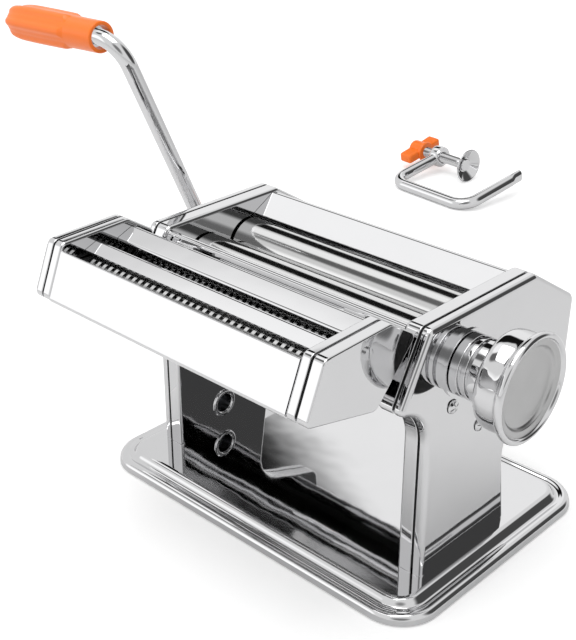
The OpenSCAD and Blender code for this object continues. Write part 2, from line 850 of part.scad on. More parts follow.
module cap_posts() {
    color("silver") on_both_sides() for (p = cutter_screw_places)
        ring_x(p, cap_post_r, cutter_screw_r + 0.02, inner_face + sheet_t, cap_outer_face - sheet_t);
}

module cap_screws() {
    color("silver") on_both_sides() for (p = cutter_screw_places) {
        rod_x(p, cutter_screw_r, inner_face + sheet_t + 1, cap_outer_face + 0.1);
        difference() {
            rod_x(p, cutter_screw_r + 1.1, cap_outer_face, cap_outer_face + 1.1);
            translate([cap_outer_face + 0.6, p[0] - 0.3, p[1] - 3]) cube([1, 0.6, 6]);
        }
    }
}

module cutter_tie_rods() {
    color("silver") for (p = cutter_tie_places) {
        rod_x(p, cutter_tie_r, -inner_face, inner_face);
        rod_x(p, cutter_tie_r - 0.6, -inner_face - sheet_t - 1, inner_face + sheet_t + 1);
        on_both_sides() rod_x(p, cutter_tie_r, inner_face + sheet_t, inner_face + sheet_t + 1);
    }
}

narrow_cheek_r = 12.4;
wide_cheek_r = 9.2;
wide_cheek_top = 137.9;
narrow_cheek_top = 140.5;

// Bearing disc with its top cut level, clear of the plates over it
module cut_disc(centre, r, top) {
    difference() {
        rod_x(centre, r, cheek_from, cheek_from + cheek_t);
        translate([cheek_from - 1, centre.x - r, top]) cube([cheek_t + 2, 2 * r, r]);
    }
}

module bearing_cheeks() {
    color("dimgray") on_both_sides() difference() {
        union() {
            cut_disc((narrow_front + narrow_rear) / 2, narrow_cheek_r, narrow_cheek_top);
            cut_disc((wide_front + wide_rear) / 2, wide_cheek_r, wide_cheek_top);
        }
        for (p = cutter_axes) rod_x(p, cutter_shaft_r + running, cheek_from - 1, cheek_from + cheek_t + 1);
    }
}

cheek_from = cutter_half + 0.4;

function disc_count(pitch) = floor((2 * cutter_half + pitch / 2) / pitch);

// Cutter: discs of half the pitch on a core, as one turned part with its shaft
module cutter(centre, pitch, count, left_end, hub) {
    disc = pitch / 2 - 0.25;
    middles = [for (i = [0:count - 1]) (i - (count - 1) / 2) * pitch];
    section = concat([[0, -cutter_half], [cutter_core_r, -cutter_half]],
        [for (m = middles) each [[cutter_core_r, m - disc / 2], [cutter_r, m - disc / 2],
            [cutter_r, m + disc / 2], [cutter_core_r, m + disc / 2]]],
        [[cutter_core_r, cutter_half], [0, cutter_half]]);
    difference() {
        union() {
            translate([0, centre[0], centre[1]]) rotate([0, 90, 0]) rotate_extrude() polygon(section);
            rod_x(centre, cutter_shaft_r, left_end, inner_face + sheet_t + 2);
            if (hub) rod_x(centre, cutter_hub_r, cutter_hub_end, cutter_gear_to - 0.3);
        }
        if (hub) rod_x(centre, socket_r, cutter_hub_end - 1, cutter_hub_end + cutter_socket_depth);
    }
}

plain_end = cutter_gear_to - 0.2;

module narrow_cutter_front() {
    color("silver") cutter(narrow_front, narrow_pitch, disc_count(narrow_pitch), plain_end - 1, true);
}

module narrow_cutter_rear() {
    color("silver") cutter(narrow_rear, narrow_pitch, disc_count(narrow_pitch) - 1, plain_end, false);
}

module wide_cutter_front() {
    color("silver") cutter(wide_front, wide_pitch, disc_count(wide_pitch) - 1, plain_end, false);
}

module wide_cutter_rear() {
    color("silver") cutter(wide_rear, wide_pitch, disc_count(wide_pitch), plain_end - 1, true);
}

// Phase of the two gears of a pair, so that a tooth of one meets a gap of the other
function pair_angle(a, b) = atan2((b - a).y, (b - a).x);

module cutter_gear(centre, phase) {
    color("dimgray") gear(centre, cutter_gear_teeth, cutter_gear_sizes, phase,
        cutter_shaft_r + 0.02, cutter_gear_to, cutter_gear_from);
}

module narrow_gear_front() {
    cutter_gear(narrow_front, pair_angle(narrow_front, narrow_rear));
}

module narrow_gear_rear() {
    cutter_gear(narrow_rear, pair_angle(narrow_rear, narrow_front) + 180 / cutter_gear_teeth);
}

module wide_gear_front() {
    cutter_gear(wide_front, pair_angle(wide_front, wide_rear));
}

module wide_gear_rear() {
    cutter_gear(wide_rear, pair_angle(wide_rear, wide_front) + 180 / cutter_gear_teeth);
}

// Comb: teeth from a rod into the grooves between a cutter's discs
module comb(axis, rod, pitch, count) {
    groove_middles = [for (i = [0:count]) (i - count / 2) * pitch];
    tooth = pitch / 2 + 0.25 - 0.8;
    reach = norm(rod - axis) - cutter_core_r - 0.5;
    rod_x(rod, comb_rod_r, -sheet_span / 2, sheet_span / 2);
    for (m = groove_middles) if (abs(m) + tooth / 2 < cutter_half)
        along_x(m - tooth / 2, m + tooth / 2) translate(rod)
            rotate(atan2((axis - rod).y, (axis - rod).x)) translate([0, -0.7]) square([reach, 1.4]);
}

module combs() {
    color("silver") {
        comb(narrow_front, comb_centres[0], narrow_pitch, disc_count(narrow_pitch));
        comb(narrow_rear, comb_centres[1], narrow_pitch, disc_count(narrow_pitch) - 1);
        comb(wide_front, comb_centres[2], wide_pitch, disc_count(wide_pitch) - 1);
        comb(wide_rear, comb_centres[3], wide_pitch, disc_count(wide_pitch));
    }
}

// ---- Table clamp, lying on the table ----

// Clamp frame: back along X on the table, arms towards +Y, tipped up until the cup's rim rests
module in_clamp_frame() {
    translate([clamp_place.x, clamp_place.y, clamp_rod_r]) rotate(clamp_turn) rotate([clamp_tilt, 0, 0])
        children();
}

clamp_tip_flat = [13, 6];

module clamp_frame() {
    color("silver") in_clamp_frame() difference() {
        union() {
            translate([0, clamp_screw_reach - clamp_eye_r + 1.5, 0]) rotate(-90)
                bent_rod([clamp_screw_reach - clamp_eye_r + 1.5 - clamp_bend_r,
                    clamp_back - 2 * clamp_bend_r, clamp_arm - clamp_bend_r], [90, 90],
                    clamp_rod_r, clamp_bend_r);
            rod_x([clamp_screw_reach, 0], clamp_eye_r, -clamp_eye_half, clamp_eye_half);
        }
        rod_x([clamp_screw_reach, 0], clamp_screw_r + running, -clamp_eye_half - 1, clamp_eye_half + 1);
        for (side = [-1, 1]) translate([clamp_back + side * (clamp_tip_flat.y / 2 + 5), clamp_arm, 0])
            cube([10, 2 * clamp_tip_flat.x, 2 * clamp_rod_r + 2], center = true);
    }
}

module clamp_screw() {
    axis = [clamp_screw_reach, 0];
    color("silver") in_clamp_frame() {
        rod_x(axis, clamp_screw_r, clamp_screw_start, clamp_cup_x - 2);
        rod_x(axis, clamp_neck_r, clamp_screw_start, clamp_cup_x + 2.6);
        rod_x(axis, clamp_neck_r + 2, clamp_cup_x + 2.2, clamp_cup_x + 4);
    }
}

module clamp_cup() {
    cup_t = 1.8;
    path = [[clamp_neck_r + running, 0], [clamp_neck_r + 3, 0], [clamp_cup_r - 1.6, 5], [clamp_cup_r, 6.6]];
    color("silver") in_clamp_frame() translate([clamp_cup_x, clamp_screw_reach, 0]) rotate([0, 90, 0])
        rotate_extrude() polygon(sheet(path, cup_t));
}

wing_half = 20;
wing_t = 9;
wing_hub_r = 9;
wing_hub_l = 16;

module clamp_wing() {
    at = clamp_screw_start + wing_hub_l / 2 - 4;
    color("darkorange") in_clamp_frame() difference() {
        union() {
            rod_x([clamp_screw_reach, 0], wing_hub_r, at - wing_hub_l / 2, at + wing_hub_l / 2);
            for (side = [-1, 1]) translate([at, clamp_screw_reach + side * (wing_half - 9), 0])
                cube([14, 18, wing_t], center = true);
        }
        rod_x([clamp_screw_reach, 0], clamp_screw_r + 0.02, clamp_screw_start, at + wing_hub_l);
    }
}

base_plate();
rubber_feet();
leg_screws();
leg_tap_bars();
left_inner_panel();
right_inner_panel();
clamp_sleeve();
left_cover();
right_cover();
cover_studs();
tie_rods();
tie_nuts();
drive_bushes();
axle_bush();
front_hopper_plate();
rear_hopper_plate();
front_scraper();
rear_scraper();
index_plate();
attachment_rails();
drive_roller();
drive_gear();
crank_rod();
crank_grip();
grip_collar();
eccentric_axle();
knob_screw();
knob_spring();
knob_stem();
knob_pin();
knob_cap();
roller_bushes();
adjustable_roller();
adjustable_gear();
front_plate();
middle_plate();
rear_plate();
hanger_channels();
left_cap_inner();
right_cap_inner();
left_cap_cover();
right_cap_cover();
cap_posts();
cap_screws();
cutter_tie_rods();
bearing_cheeks();
combs();
narrow_cutter_front();
narrow_cutter_rear();
wide_cutter_front();
wide_cutter_rear();
narrow_gear_front();
narrow_gear_rear();
wide_gear_front();
wide_gear_rear();
clamp_frame();
clamp_screw();
clamp_cup();
clamp_wing();
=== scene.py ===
import math

import bmesh
import bpy
from mathutils import Matrix, Vector


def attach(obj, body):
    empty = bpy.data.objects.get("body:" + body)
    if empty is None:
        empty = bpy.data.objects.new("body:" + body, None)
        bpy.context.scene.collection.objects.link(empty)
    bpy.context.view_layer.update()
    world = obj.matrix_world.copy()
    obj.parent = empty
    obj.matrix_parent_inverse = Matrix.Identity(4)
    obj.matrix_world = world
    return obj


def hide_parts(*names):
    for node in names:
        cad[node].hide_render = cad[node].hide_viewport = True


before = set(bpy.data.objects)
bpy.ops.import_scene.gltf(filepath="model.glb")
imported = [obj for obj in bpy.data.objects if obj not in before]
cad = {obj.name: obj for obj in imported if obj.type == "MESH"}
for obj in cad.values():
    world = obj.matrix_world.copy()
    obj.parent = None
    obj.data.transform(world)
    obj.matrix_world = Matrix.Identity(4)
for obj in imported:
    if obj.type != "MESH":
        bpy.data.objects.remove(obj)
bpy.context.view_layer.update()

# ---- The room ----
# A pale product studio: a white paper floor that runs out to white, soft white walls, and one softbox
# overhead. Grey, black and white cards hang far out round it, and the bright metal mirrors them as bands.


def linear(hex_colour):
    """An sRGB hex colour as the linear RGBA that Blender's sockets take."""
    parts = [int(hex_colour[i : i + 2], 16) / 255 for i in (1, 3, 5)]
    return [c / 12.92 if c <= 0.04045 else ((c + 0.055) / 1.055) ** 2.4 for c in parts] + [1]


def add(tree, kind, links=(), **settings):
    """Adds a shader node. Settings are its properties, links pairs of a socket and a value or output."""
    node = tree.nodes.new(kind)
    for name, value in settings.items():
        setattr(node, name, value)
    for socket, value in links:
        if isinstance(value, bpy.types.NodeSocket):
            tree.links.new(value, node.inputs[socket])
        else:
            node.inputs[socket].default_value = value
    return node


bpy.context.scene.view_settings.view_transform = "Standard"
world = bpy.data.worlds.new("room")
bpy.context.scene.world = world
world.use_nodes = True
tree = world.node_tree
tree.nodes.clear()
way = add(tree, "ShaderNodeTexCoord").outputs["Generated"]
room = linear("#f4f4f4")
# Each card: the way to it, the cosines at which it is full and gone, its grey, and how bright it is
for towards, full, gone, grey, gain in [
    ((0.62, 0.66, 0.38), 0.95, 0.80, "#505050", 1.0),
    ((-0.56, -0.31, 0.78), 0.994, 0.972, "#6e6e6e", 1.0),
    ((0.62, -0.65, 0.45), 0.99, 0.90, "#8a8a8a", 1.0),
    ((-0.617, -0.777, 0.139), 0.97, 0.90, "#ffffff", 1.45),
    ((-0.617, 0.648, 0.448), 0.97, 0.90, "#ffffff", 1.1),
    ((-0.6, 0.02, 0.805), 0.990, 0.972, "#ffffff", 1.25),
    ((-0.52, 0.45, 0.73), 0.988, 0.976, "#161616", 1.0),
    ((-0.61, 0.46, 0.64), 0.988, 0.976, "#161616", 1.0),
    ((-0.70, 0.44, 0.56), 0.988, 0.976, "#161616", 1.0),
]:
    facing = add(tree, "ShaderNodeVectorMath", [(0, way), (1, Vector(towards).normalized())],
                 operation="DOT_PRODUCT")
    amount = add(tree, "ShaderNodeMapRange", [("Value", facing.outputs["Value"]), ("From Min", gone),
                                              ("From Max", full)], interpolation_type="SMOOTHSTEP")
    level = [c * gain for c in linear(grey)[:3]] + [1]
    room = add(tree, "ShaderNodeMixRGB", [("Fac", amount.outputs["Result"]), ("Color1", room),
                                          ("Color2", level)]).outputs[0]
rays = add(tree, "ShaderNodeLightPath")
seen = add(tree, "ShaderNodeMixRGB", [("Fac", rays.outputs["Is Camera Ray"]), ("Color1", room),
                                      ("Color2", (1, 1, 1, 1))])
background = add(tree, "ShaderNodeBackground", [("Color", seen.outputs[0]), ("Strength", 1.0)])
add(tree, "ShaderNodeOutputWorld", [("Surface", background.outputs[0])])

bpy.ops.object.select_all(action="DESELECT")
bpy.ops.mesh.primitive_plane_add(size=12, location=(0, 0, 0))
floor = bpy.context.object
floor.name = "studio_floor"
paper = bpy.data.materials.new("white_paper_floor")
paper.use_nodes = True
tree = paper.node_tree
tree.nodes.clear()
rays = add(tree, "ShaderNodeLightPath")
plain = add(tree, "ShaderNodeBsdfDiffuse", [("Color", linear("#eeeeee"))])
to_camera = add(tree, "ShaderNodeEmission", [("Color", (1, 1, 1, 1)), ("Strength", 0.35)])
to_metal = add(tree, "ShaderNodeEmission", [("Color", (1, 1, 1, 1)), ("Strength", 0.0)])
for_camera = add(tree, "ShaderNodeAddShader", [(0, plain.outputs[0]), (1, to_camera.outputs[0])])
for_metal = add(tree, "ShaderNodeAddShader", [(0, plain.outputs[0]), (1, to_metal.outputs[0])])
mirrored = add(tree, "ShaderNodeMixShader", [("Fac", rays.outputs["Is Glossy Ray"]), (1, plain.outputs[0]),
                                             (2, for_metal.outputs[0])])
shown = add(tree, "ShaderNodeMixShader", [("Fac", rays.outputs["Is Camera Ray"]), (1, mirrored.outputs[0]),
                                          (2, for_camera.outputs[0])])
add(tree, "ShaderNodeOutputMaterial", [("Surface", shown.outputs[0])])
floor.data.materials.append(paper)

# One pale reflector board stands close to the left end of the base. Only mirroring metal shows it.
bpy.ops.mesh.primitive_plane_add(size=1, location=(-0.128, 0.020, 0.036), rotation=(0, math.pi / 2, 0))
reflector = bpy.context.object
reflector.name = "studio_reflector"
reflector.scale = (0.056, 0.230, 1)
reflector.visible_camera = False
reflector.visible_shadow = False
reflector.visible_diffuse = False
reflector_board = bpy.data.materials.new("pale_reflector_board")
reflector_board.use_nodes = True
tree = reflector_board.node_tree
tree.nodes.clear()
board_light = add(tree, "ShaderNodeEmission", [("Color", linear("#f0f0f0")), ("Strength", 1.0)])
add(tree, "ShaderNodeOutputMaterial", [("Surface", board_light.outputs[0])])
reflector.data.materials.append(reflector_board)

bpy.ops.object.light_add(type="AREA", location=(-0.1, -0.25, 1.3))
overhead = bpy.context.object
overhead.name = "softbox"
overhead.data.size = 0.9
overhead.data.energy = 7

azimuth, elevation = math.radians(43.6), math.radians(26.6)
back = Vector((math.sin(azimuth) * math.cos(elevation), -math.cos(azimuth) * math.cos(elevation),
               math.sin(elevation)))
right = Vector((math.cos(azimuth), math.sin(azimuth), 0))
up = back.cross(right)
target = Vector((0, 0, 0.060)) - 0.0274 * right + 0.0330 * up
bpy.ops.object.camera_add(location=target + 0.6213 * back)
camera = bpy.context.object
camera.rotation_mode = "QUATERNION"
camera.rotation_quaternion = Matrix((right, up, back)).transposed().to_quaternion()
camera.data.lens = 66.64
camera.data.clip_start = 0.01
camera.data.clip_end = 50
bpy.context.scene.camera = camera

# ---- Base ----
# The foot of the machine: one sheet of steel pressed into a shallow tray with a rolled, grooved rim,
# then plated bright. It stands on four moulded rubber feet, and screws come up through it to the legs.


def finish(name, colour, rough, grain=None, lift=0.0, metallic=1.0, uneven=0.1, stretch=(1, 1, 1)):
    """A surface with an uneven polish, and grain (m) of the given lift (m) drawn out by stretch."""
    m = bpy.data.materials.new(name)
    m.use_nodes = True
    tree = m.node_tree
    tree.nodes.clear()
    place = add(tree, "ShaderNodeTexCoord").outputs["Object"]
    cloud = add(tree, "ShaderNodeTexNoise", [("Vector", place), ("Scale", 55), ("Detail", 4)])
    polish = add(tree, "ShaderNodeMapRange", [("Value", cloud.outputs["Fac"]), ("To Min", rough * 0.6),
                                              ("To Max", rough * 1.4)])
    dull = [c * (1 - uneven) for c in linear(colour)[:3]] + [1]
    tint = add(tree, "ShaderNodeMixRGB", [("Fac", cloud.outputs["Fac"]), ("Color1", linear(colour)),
                                          ("Color2", dull)])
    surface = add(tree, "ShaderNodeBsdfPrincipled", [
        ("Base Color", tint.outputs[0]), ("Metallic", metallic), ("Roughness", polish.outputs["Result"])])
    if grain:
        drawn = add(tree, "ShaderNodeMapping", [("Vector", place), ("Scale", stretch)])
        marks = add(tree, "ShaderNodeTexNoise", [("Vector", drawn.outputs[0]), ("Scale", 1 / grain),
                                                 ("Detail", 2)])
        bump = add(tree, "ShaderNodeBump", [("Height", marks.outputs["Fac"]), ("Strength", 1.0),
                                            ("Distance", lift)])
        tree.links.new(bump.outputs[0], surface.inputs["Normal"])
    add(tree, "ShaderNodeOutputMaterial", [("Surface", surface.outputs[0])])
    return m


def smooth(points, steps):
    """The points of an even curve that passes through the given ones."""
    curve = []
    for i in range(len(points) - 1):
        ends = [points[max(i - 1, 0)], points[i], points[i + 1], points[min(i + 2, len(points) - 1)]]
        for s in range(steps):
            t = s / steps
            curve.append([0.5 * (2 * b + (c - a) * t + (2 * a - 5 * b + 4 * c - d) * t * t
                                 + (3 * b - a - 3 * c + d) * t ** 3) for a, b, c, d in zip(*ends)])
    return curve + [list(points[-1])]


def edit(piece):
    """Opens a piece in edit mode, alone, with all of it selected."""
    if bpy.context.mode != "OBJECT":
        bpy.ops.object.mode_set(mode="OBJECT")
    bpy.ops.object.select_all(action="DESELECT")
    bpy.context.view_layer.objects.active = piece
    piece.select_set(True)
    bpy.ops.object.mode_set(mode="EDIT")
    bpy.ops.mesh.select_mode(type="VERT")
    bpy.ops.mesh.select_all(action="SELECT")


def pick(kind, test):
    """Selects the verts, edges or faces of the open piece that pass the test, and only those."""
    bpy.ops.mesh.select_mode(type={"verts": "VERT", "edges": "EDGE", "faces": "FACE"}[kind])
    bpy.ops.mesh.select_all(action="DESELECT")
    shape = bmesh.from_edit_mesh(bpy.context.object.data)
    for part in getattr(shape, kind):
        if test(part):
            part.select_set(True)
    shape.select_flush_mode()
    bmesh.update_edit_mesh(bpy.context.object.data)


def modify(piece, kind, **settings):
    """Adds a modifier to a piece and applies it."""
    if bpy.context.mode != "OBJECT":
        bpy.ops.object.mode_set(mode="OBJECT")
    bpy.ops.object.select_all(action="DESELECT")
    bpy.context.view_layer.objects.active = piece
    piece.select_set(True)
    modifier = piece.modifiers.new(kind.lower(), kind)
    for name, value in settings.items():
        setattr(modifier, name, value)
    bpy.ops.object.modifier_apply(modifier=modifier.name)


def dress(piece, material, body, *nodes):
    """Smooths a finished piece, gives it its material, and lets it ride on a body for its CAD nodes."""
    if bpy.context.mode != "OBJECT":
        bpy.ops.object.mode_set(mode="OBJECT")
    bpy.ops.object.select_all(action="DESELECT")
    bpy.context.view_layer.objects.active = piece
    piece.select_set(True)
    bpy.ops.object.transform_apply(location=True, rotation=True, scale=True)
    bpy.ops.object.shade_smooth_by_angle(angle=math.radians(38))
    modify(piece, "WEIGHTED_NORMAL", keep_sharp=True)
    piece.data.materials.clear()
    piece.data.materials.append(material)
    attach(piece, body)
    if nodes:
        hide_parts(*nodes)


# Bright chrome on pressed steel: a clear mirror, a shade darker than silver, with the sheet's slow waves
chrome = finish("chrome_on_pressed_steel", "#dbdbdc", 0.035, grain=0.035, lift=0.00012, uneven=0.03)

base_half = Vector((0.108, 0.076))
base_corner = 0.022
base_wall = 0.0012
# The rim from its lowest edge inwards: distance in from the edge and height above the table, in mm
base_rim = smooth([(0.0, 0.8), (0.15, 2.4), (0.5, 3.9), (1.5, 5.1), (2.9, 5.6), (4.4, 5.5), (5.7, 4.9),
                   (7.0, 4.8), (8.2, 5.4), (9.6, 7.0), (10.8, 7.9), (12.7, 8.2)], 4)
bpy.ops.object.select_all(action="DESELECT")
bpy.ops.mesh.primitive_plane_add(size=1, location=(0, 0, base_rim[0][1] / 1000))
base = bpy.context.object
base.name = "pressed_base"
base.scale = (2 * base_half.x, 2 * base_half.y, 1)
bpy.ops.object.transform_apply(location=True, scale=True)
edit(base)
bpy.ops.mesh.bevel(offset=base_corner, segments=16, affect="VERTICES")
pick("faces", lambda face: True)
for (from_edge, height), (next_edge, next_height) in zip(base_rim, base_rim[1:]):
    bpy.ops.mesh.inset(thickness=(next_edge - from_edge) / 1000, depth=(next_height - height) / 1000)
modify(base, "SOLIDIFY", thickness=base_wall, offset=-1, use_even_offset=True)
dress(base, chrome, "machine", "base_plate")
rubber = finish("moulded_black_rubber", "#1c1c1d", 0.7, grain=0.0006, lift=0.00004, metallic=0)
# Zinc-plated steel of the hidden screws and studs: pale, half dull, faintly mottled
zinc = finish("zinc_plated_steel", "#b6b8bb", 0.28, grain=0.0012, lift=0.00001, uneven=0.2)
cad["rubber_feet"].data.materials.clear()
cad["rubber_feet"].data.materials.append(rubber)

# ---- Side panels ----
# Each side is a pressed steel box in two halves: an inner shell whose flange steps into the outer
# cover, with a gap left all round between them whose flange is painted near black as shade. Their edges are
# rounded by the press.


def merged_copy(node, name):
    """A copy of a CAD node's mesh with its triangles joined into plain faces, open in edit mode."""
    piece = bpy.data.objects.new(name, cad[node].data.copy())
    bpy.context.scene.collection.objects.link(piece)
    edit(piece)
    bpy.ops.mesh.remove_doubles(threshold=0.000002)
    bpy.ops.mesh.dissolve_limited(angle_limit=math.radians(0.6))
    return piece


def turn_of(edge):
    """How far the two faces at an edge turn, in degrees: outward corners above 0, inward ones below."""
    return math.degrees(edge.calc_face_angle_signed(0)) if len(edge.link_faces) == 2 else 0


def outline_at(x, level=0.0):
    """Selects the open piece's outermost loop of sharp edges in the plane at x, above a level."""
    shape = bmesh.from_edit_mesh(bpy.context.object.data)
    flat = [e for e in shape.edges if all(abs(v.co.x - x) < 0.00001 for v in e.verts) and turn_of(e) > 30]
    loop = [max(flat, key=lambda e: sum(v.co.z for v in e.verts))]
    for edge in loop:
        loop += [e for e in flat if e not in loop and set(e.verts) & set(edge.verts)]
    ends = {tuple(sorted(v.index for v in e.verts)) for e in loop
            if max(v.co.z for v in e.verts) > level}
    pick("edges", lambda e: tuple(sorted(v.index for v in e.verts)) in ends)


def rounded_shell(node, name, body, rims, level=0.0):
    """A pressed shell from its CAD node, with its outline at each x of the rims rounded by a radius."""
    shell = merged_copy(node, name)
    for x, radius in rims:
        outline_at(x, level)
        bpy.ops.mesh.bevel(offset=radius, segments=5 if radius > 0.001 else 2, affect="EDGES",
                           clamp_overlap=True)
    dress(shell, chrome, body, node)
    return shell


def coat(piece, material, test):
    """Gives another material to the faces of a finished piece whose middle passes the test."""
    piece.data.materials.append(material)
    for face in piece.data.polygons:
        if test(face.center):
            face.material_index = len(piece.data.materials) - 1


def keep(material, *nodes):
    """Gives CAD nodes that keep their shape a material."""
    for node in nodes:
        cad[node].data.materials.clear()
        cad[node].data.materials.append(material)


# Painted shade: a near-black, dull finish put on faces in seams, under screw heads and lips, and at the back
# of the knob, where shade falls
seam_steel = finish("pickled_mild_steel", "#161617", 0.6, grain=0.0008, lift=0.00001, metallic=0, uneven=0.2)
base_top = 0.0082
seam_start = 0.085
for side, hand in [(-1, "left"), (1, "right")]:
    inner = rounded_shell(hand + "_inner_panel", hand + "_inner_shell", "machine",
                          [(side * 0.077, 0.0018), (side * seam_start, 0.0004)], base_top + 0.0001)
    # Painted shade: the inner shell's flange inside the seam is laid near black
    coat(inner, seam_steel, lambda middle: side * middle.x > seam_start + 0.00002)
    rounded_shell(hand + "_cover", hand + "_outer_cover", "machine",
                  [(side * 0.091, 0.0026), (side * 0.0862, 0.0004)], base_top + 0.0001)
keep(chrome, "tie_rods")
keep(zinc, "cover_studs", "tie_nuts", "clamp_sleeve")

# ---- Cover screws ----
# Two small cross-headed screws of bright steel hold the right cover, low beside the knob.


def turned(name, profile, steps=64, pitch=0.0, turns=1):
    """A piece turned about the X axis from (x, radius) pairs in mm. With a pitch it is a screw."""
    if bpy.context.mode != "OBJECT":
        bpy.ops.object.mode_set(mode="OBJECT")
    bpy.ops.object.select_all(action="DESELECT")
    bpy.ops.mesh.primitive_plane_add(size=0.001, location=(0, 0, 0))
    piece = bpy.context.object
    piece.name = name
    edit(piece)
    bpy.ops.mesh.merge(type="CENTER")
    bpy.ops.transform.translate(value=(profile[0][0] / 1000, 0, profile[0][1] / 1000))
    for (x, r), (next_x, next_r) in zip(profile, profile[1:]):
        bpy.ops.mesh.extrude_region_move(
            TRANSFORM_OT_translate={"value": ((next_x - x) / 1000, 0, (next_r - r) / 1000)})
    modify(piece, "SCREW", axis="X", angle=2 * math.pi, screw_offset=pitch / 1000, iterations=turns,
           steps=steps, render_steps=steps, use_merge_vertices=pitch == 0, merge_threshold=0.000001)
    edit(piece)
    bpy.ops.mesh.remove_doubles(threshold=0.000002)
    bpy.ops.mesh.normals_make_consistent(inside=False)
    return piece


def place(piece, matrix):
    """Puts a piece that was made at the origin where it belongs."""
    bpy.ops.object.mode_set(mode="OBJECT")
    piece.matrix_world = matrix
    bpy.ops.object.select_all(action="DESELECT")
    bpy.context.view_layer.objects.active = piece
    piece.select_set(True)
    bpy.ops.object.transform_apply(location=True, rotation=True, scale=True)


head_profile = smooth([(0.0, 3.6), (0.5, 3.5), (1.3, 2.7), (1.7, 1.2), (1.75, 0.0)], 4)
for number, (y, z, lean) in enumerate([(-0.0284, 0.0953, 20), (-0.0057, 0.0760, 65)]):
    screw = turned("cover_screw_%d" % (number + 1), [(-0.2, 0.0), (-0.2, 3.6)] + head_profile, steps=32)
    pick("faces", lambda f: f.calc_center_median().x > 0.0011
         and abs(math.sin(math.atan2(f.calc_center_median().z, f.calc_center_median().y) * 2)) < 0.45
         and f.calc_center_median().yz.length > 0.0002)
    bpy.ops.mesh.extrude_region_move(TRANSFORM_OT_translate={"value": (-0.0006, 0, 0)})
    place(screw, Matrix.Translation((0.091, y, z)) @ Matrix.Rotation(math.radians(lean), 4, "X"))
    dress(screw, chrome, "machine")
    # Painted shade: the underside of each screw head, against the cover, is laid near black
    coat(screw, seam_steel, lambda middle: middle.x < 0.0914)

# ---- Rim of the clamp's hole ----
# The hole for the clamp's arm is low on the inside of the left leg. The steel round it is pressed up
# into a small raised rim, and plated with the panel.

rim = turned("clamp_hole_rim", [(-77.1, 5.5)] + smooth([
    (-76.6, 5.6), (-76.1, 6.1), (-75.9, 6.8), (-76.1, 7.6), (-76.6, 8.3)], 3) + [(-77.1, 8.5), (-77.1, 5.5)],
             steps=48)
place(rim, Matrix.Translation((0, -0.012, 0.022)))
dress(rim, chrome, "machine")

# ---- Hopper ----
# Two bent sheets lead the dough down to the rollers, and carry the panels apart. Two thin spring
# steel scrapers under the rollers peel the dough off them.


def bend_sheet(node, name, body, sheet, radius):
    """A bent sheet from its CAD node: its folds rounded by the press's inner radius, its edges eased."""
    piece = merged_copy(node, name)

    def along(edge):
        return abs(edge.verts[0].co.x - edge.verts[1].co.x) > 0.05

    def width(face, edge):
        return face.calc_area() / edge.calc_length()

    shape = bmesh.from_edit_mesh(piece.data)
    folds = []
    for edge in shape.edges:
        if not along(edge) or len(edge.link_faces) < 2:
            continue
        turn = math.radians(turn_of(edge))
        narrow = min(width(face, edge) for face in edge.link_faces)
        if narrow < sheet * 1.25:
            if turn > 0.5:
                folds.append((edge.verts[0].co.copy(), sheet * 0.2, 2))
        elif abs(turn) > 0.13:
            outer = radius + (sheet if turn > 0 else 0)
            folds.append((edge.verts[0].co.copy(), min(outer * math.tan(abs(turn) / 2), narrow * 0.45), 5))
    for at, offset, segments in folds:
        pick("edges", lambda e: along(e) and all((v.co.yz - at.yz).length < 0.00001 for v in e.verts))
        bpy.ops.mesh.bevel(offset=offset, segments=segments, affect="EDGES", clamp_overlap=True)
    dress(piece, chrome, body, node)
    return piece


bend_sheet("front_hopper_plate", "front_hopper_sheet", "machine", 0.0012, 0.0006)
rear_sheet = bend_sheet("rear_hopper_plate", "rear_hopper_sheet", "machine", 0.0012, 0.0006)
# Painted shade: the underside of the rear sheet's lip, hidden over the driven roller, is laid near black
lip_edge = Vector((0.0145, 0.1307))
lip_up = Vector((-0.45, 0.89))
lip_fold_y = 0.0285
coat(rear_sheet, seam_steel, lambda middle: middle.y < lip_fold_y
     and (middle.yz - lip_edge).dot(lip_up) < -0.0004)
# Nickel-plated spring steel and turned cutter steel: bright, a little warmer and duller than the chrome
nickel = finish("nickel_plated_steel", "#c9c9c9", 0.16, grain=0.0008, lift=0.00001)
keep(nickel, "front_scraper", "rear_scraper")

# ---- Rollers ----
# Two ground steel rollers run in sintered bronze bushes, one driven by the crank and one carried on
# an eccentric axle. A pair of long-toothed hobbed gears joins them.

# Ground and polished steel: a mirror with fine rings round the roller, which stretch its highlights
roller_steel = finish("ground_roller_steel", "#d4d4d4", 0.10, grain=0.0004, lift=0.000002, uneven=0.05,
                      stretch=(1, 0.05, 0.05))
# Hobbed gear steel: mid grey, oily, half dull
gear_steel = finish("hobbed_gear_steel", "#5f6062", 0.35, grain=0.0005, lift=0.00001, uneven=0.25)
# Sintered bronze: brown-gold, with a fine open grain
bronze = finish("sintered_bronze", "#a5803e", 0.35, grain=0.0003, lift=0.00001, uneven=0.25)
keep(roller_steel, "drive_roller", "adjustable_roller")
keep(gear_steel, "drive_gear", "adjustable_gear")
keep(bronze, "drive_bushes", "axle_bush", "roller_bushes")
keep(zinc, "eccentric_axle")

# ---- Thickness knob ----
# A spun steel cap with a rolled rim and a brushed, sunken face is pressed on a grooved stem. It is
# pulled out against a spring, turned, and let back into a hole of the plate behind it.

